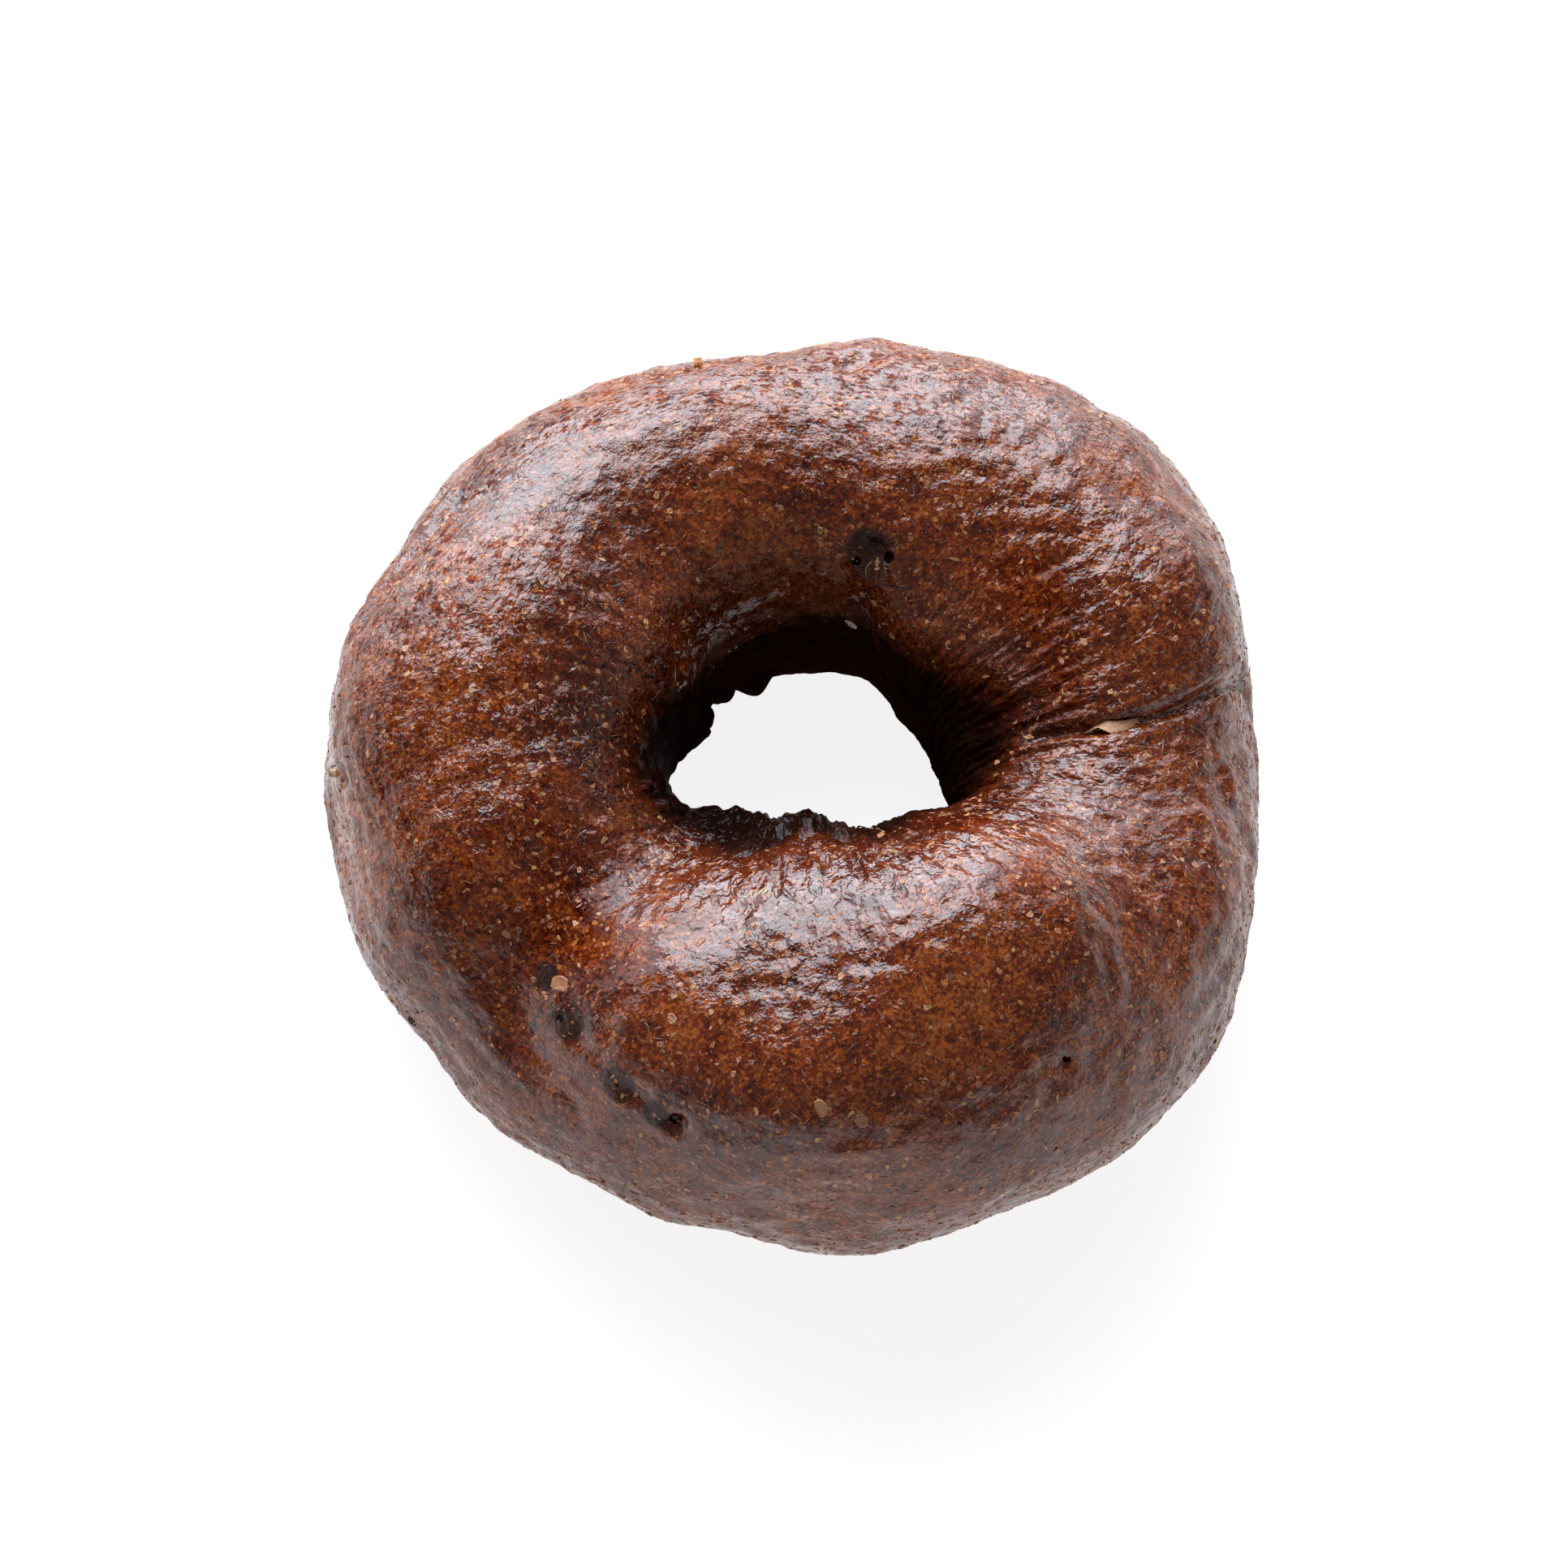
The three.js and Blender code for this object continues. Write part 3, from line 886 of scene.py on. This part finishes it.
def bran_material(name, stops, gloss):
    """The material of bits of grain, each with a tone of its own."""
    material, tree = new_material(name)
    here = add(tree, "TexCoord").outputs["Object"]
    tone = add(tree, "Attribute", attribute_name="tone").outputs["Fac"]
    fine = noise_of(tree, here, 0.3, detail=3, roughness=0.6)
    colour = ramp(tree, total(tree, (tone, 0.75), (fine, 0.9), -0.33), stops)
    bumps = add(tree, "Bump", {"Height": fine, "Distance": 0.2 * MM}).outputs["Normal"]
    shade(tree, {
        "Base Color": colour, "Roughness": 0.5, "Normal": bumps, "Coat Weight": gloss,
        "Coat Roughness": 0.15, "Coat Normal": bumps,
    })
    return material


def floor_material():
    material, tree = new_material("floor")
    shade(tree, {
        "Base Color": (0.26, 0.26, 0.26, 1), "Roughness": 0.9, "Specular IOR Level": 0.1,
        "Emission Color": (1, 1, 1, 1), "Emission Strength": 0.87,
    })
    return material


# ---- Studio ----

CAMERA_TARGET = Vector((-0.95, 0.6, 18)) * MM  # the point at the picture's middle
CAMERA_DISTANCE = 0.7
CAMERA_ELEVATION = 62
CAMERA_LENS = 136
FLOOR_SIZE = 6.0
DAYLIGHT = (0.92, 0.98, 1.07)
LIGHT_TARGET = Vector((0, 0, 20)) * MM
ROOM_RADIANCE = 0.15
LOW_WALL_RADIANCE = 0.6
LOW_WALL_TOP = (0.10, 0.40)  # the heights, as sines of their angles, between which the low walls fade


def towards(azimuth, elevation):
    """The direction at an azimuth, in degrees clockwise from +Y seen from above, and elevation."""
    a, e = math.radians(azimuth), math.radians(elevation)
    return Vector((math.sin(a) * math.cos(e), math.cos(a) * math.cos(e), math.sin(e)))


def aim(thing, target):
    thing.rotation_euler = (target - thing.location).to_track_quat("-Z", "Y").to_euler()


def add_light(name, azimuth, elevation, distance, width, height, radiance):
    data = bpy.data.lights.new(name, "AREA")
    data.shape = "RECTANGLE"
    data.size, data.size_y = width, height
    data.energy = radiance * math.pi * width * height
    data.color = DAYLIGHT
    light = bpy.data.objects.new(name, data)
    light.location = towards(azimuth, elevation) * distance
    aim(light, LIGHT_TARGET)
    bpy.context.scene.collection.objects.link(light)


def add_camera():
    data = bpy.data.cameras.new("camera")
    data.lens = CAMERA_LENS
    camera = bpy.data.objects.new("camera", data)
    camera.location = CAMERA_TARGET + towards(180, CAMERA_ELEVATION) * CAMERA_DISTANCE
    aim(camera, CAMERA_TARGET)
    bpy.context.scene.collection.objects.link(camera)
    bpy.context.scene.camera = camera


def add_floor():
    half = FLOOR_SIZE / 2 / MM
    corners = [(-half, -half, 0), (half, -half, 0), (half, half, 0), (-half, half, 0)]
    floor = new_object("floor", corners, [(0, 1, 2, 3)])
    floor.data.materials.append(floor_material())


def set_world():
    """A dim room that is lighter all round near the level of the floor."""
    world = bpy.data.worlds.new("studio")
    world.use_nodes = True
    tree = world.node_tree
    way = add(tree, "TexCoord").outputs["Generated"]
    rise = add(tree, "SeparateXYZ", {0: way}).outputs["Z"]
    band = level(tree, rise, *LOW_WALL_TOP)
    strength = add(tree, "Mix", {0: band, 2: LOW_WALL_RADIANCE, 3: ROOM_RADIANCE}, data_type="FLOAT")
    background = tree.nodes["Background"]
    background.inputs["Color"].default_value = (1, 1, 1, 1)
    tree.links.new(strength.outputs[0], background.inputs["Strength"])
    bpy.context.scene.world = world


# ---- The scene ----

# Pits, painted black as the shade in them: theta, phi, radius.
PITS = [
    (62.8, 133.2, 0.9), (72.4, 138, 0.7), (254.4, 39.6, 0.9), (305.6, 40.8, 0.5), (213.2, 2, 0.8),
    (180, 18, 0.5), (246, 45.6, 0.4), (233.6, 57.6, 0.6), (260.8, 98.4, 0.35), (290, 38, 0.4),
]
# Hollows painted dark as the shade in them, and without gloss: theta, phi, radius.
SHADED_HOLLOWS = [(69, 134, 3.6), (246, 46, 2.6), (235, 58, 2.6), (228, 66, 2.0), (252, 40, 2.2)]

# Bits of grain of each kind: how many, and their sizes in mm.
BRAN = {"count": 6000, "length": (0.28, 1.2), "thickness": (0.01, 0.06), "seed": 301}
AMBER = {"count": 2600, "length": (0.28, 1.1), "thickness": (0.01, 0.06), "seed": 302}
FIBRES = {"count": 4200, "length": (0.5, 2.2), "width": (0.08, 0.19), "seed": 303}
# The larger bran scales, each where it lies: theta, phi, length.
LARGE_BRAN = [
    (230.8, 67.2, 2.6), (71.6, 165.6, 1.8), (59.2, 123.6, 1.2), (295.6, 141.6, 1.5), (251.2, 74, 1.4),
    (317.6, 22, 1.6), (273.6, 52, 2.2), (278.4, 47, 1.9), (150.8, 84, 1.5),
]
LARGE_AMBER = [
    (62, 103.2, 1.4), (82.4, 52, 1.3), (251.2, 98, 1.5), (258.8, 93, 1.6), (102, 54, 1.5),
]
# Loose crumbs stuck to the rim.
PALE_CRUMBS = [(181.6, 20, 0.9)]
AMBER_CRUMBS = [(102.8, 50, 1.1)]
LARGE_WIDTH, LARGE_THICKNESS = 0.7, 0.07  # of the larger scales, as shares of their length
CRUMB_THICKNESS, CRUMB_TONE = 0.8, 1.1  # of the loose crumbs: a share of their length, and how pale
# Bundles of straw: theta, phi, the turn of the fibres in degrees, their number and length.
BUNDLES = [(258.4, 114, 5, 6, 2.2), (292.8, 148.8, 85, 5, 2.0), (296.5, 146, 70, 4, 1.8)]
SEAM_LEAF = {
    "path": [(356.8, 100), (358, 94.8), (359.2, 91.2), (360.4, 85.2), (361.6, 80.4)],
    "width": 1.7, "rise": 0.8, "lift": 0.5,
}

PALE_TONES = [
    (0.0, rgb(104, 46, 14)), (0.4, rgb(152, 86, 36)), (0.75, rgb(194, 134, 76)), (1.0, rgb(222, 180, 128)),
]
AMBER_TONES = [
    (0.0, rgb(112, 50, 8)), (0.5, rgb(152, 76, 12)), (0.85, rgb(188, 108, 22)), (1.0, rgb(208, 140, 44)),
]
LEAF_TONES = [
    (0.0, rgb(78, 32, 8)), (0.35, rgb(128, 70, 24)), (0.8, rgb(170, 120, 80)), (1.0, rgb(188, 146, 108)),
]
# Bran lies above this height in mm, where the way out of the crust rises by more than this sine.
BRAN_LOWEST, BRAN_FACING = 1.5, -0.6


def lay(name, parts, tones, material):
    """Makes one piece of many small parts, each with its own tone, in the crust's slot."""
    points, faces = join(parts)
    piece = new_object(name, points, faces)
    tone = np.concatenate([np.array(part[2]) + value for part, value in zip(parts, tones)])
    add_point_values(piece, "tone", tone)
    piece.data.materials.append(material)
    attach(piece, "root")


def scatter_flakes(crust, name, kind, large, crumbs_on, stops, liking):
    draw = draws(kind["seed"])
    parts = []
    for place in crust.spread(kind["count"], draw, liking):
        low, high = kind["length"]
        length = low + (high - low) * next(draw) ** 2
        width = length * (0.3 + 0.6 * next(draw))
        parts.append(flake(place, draw, length, width, between(draw, kind["thickness"])))
    tones = [next(draw) for _ in parts]
    for theta, phi, length in large:
        place, width = crust.at(theta, phi), length * LARGE_WIDTH
        parts.append(flake(place, draw, length, width, LARGE_THICKNESS * length, LARGE_SIDES))
        tones.append(0.45 + 0.3 * next(draw))
    for theta, phi, length in crumbs_on:
        thickness = CRUMB_THICKNESS * length
        parts.append(flake(crust.at(theta, phi), draw, length, length, thickness, LARGE_SIDES))
        tones.append(CRUMB_TONE)
    lay(name, parts, tones, bran_material(name, stops, gloss=0.7))


def scatter_fibres(crust, liking):
    draw = draws(FIBRES["seed"])
    parts = []
    for place in crust.spread(FIBRES["count"], draw, liking):
        low, high = FIBRES["length"]
        length = low + (high - low) * next(draw) ** 1.6
        parts.append(fibre(place, draw, length, between(draw, FIBRES["width"])))
    tones = [next(draw) ** 1.3 for _ in parts]
    for theta, phi, turn, count, length in BUNDLES:
        for _ in range(count):
            place = crust.at(theta + 2 * next(draw), phi + 3 * next(draw))
            way = math.radians(turn + 30 * (next(draw) - 0.5))
            parts.append(fibre(place, draw, length * (0.6 + 0.4 * next(draw)), 0.2, way))
            tones.append(0.8 + 0.3 * next(draw))
    lay("fibres", parts, tones, bran_material("fibres", PALE_TONES, gloss=0.6))


add_camera()
set_world()
add_floor()
add_light("window", azimuth=-11, elevation=37, distance=1.5, width=1.3, height=1.7, radiance=5.6)
add_light("curtain", azimuth=-12, elevation=27, distance=1.7, width=4.0, height=2.2, radiance=2.1)
add_light("sill", azimuth=-8, elevation=6, distance=1.6, width=3.0, height=0.34, radiance=2.8)
add_light("doorway", azimuth=-80, elevation=4, distance=1.4, width=0.9, height=0.5, radiance=0.7)
bpy.context.scene.view_settings.view_transform = "Standard"

crust = Crust()
pits = [(crust.at(theta, phi), radius) for theta, phi, radius in PITS]
shaded_hollows = [(crust.at(theta, phi), radius) for theta, phi, radius in SHADED_HOLLOWS]
crust.piece.data.materials.append(crust_material(pits, shaded_hollows))
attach(crust.piece, "root")
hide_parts("bagel")

in_the_open = (crust.normals[..., 2] > BRAN_FACING) * (crust.points[..., 2] > BRAN_LOWEST)
whole_skin = in_the_open * (1 - smooth_step(crust.torn, 0, 0.7))
scatter_flakes(crust, "bran_flakes", BRAN, LARGE_BRAN, PALE_CRUMBS, PALE_TONES, whole_skin)
scatter_flakes(crust, "amber_flakes", AMBER, LARGE_AMBER, AMBER_CRUMBS, AMBER_TONES, whole_skin)
scatter_fibres(crust, whole_skin)
lay("seam_leaf", [torn_leaf(crust, **SEAM_LEAF)], [1.0], bran_material("seam_leaf", LEAF_TONES, gloss=0.5))
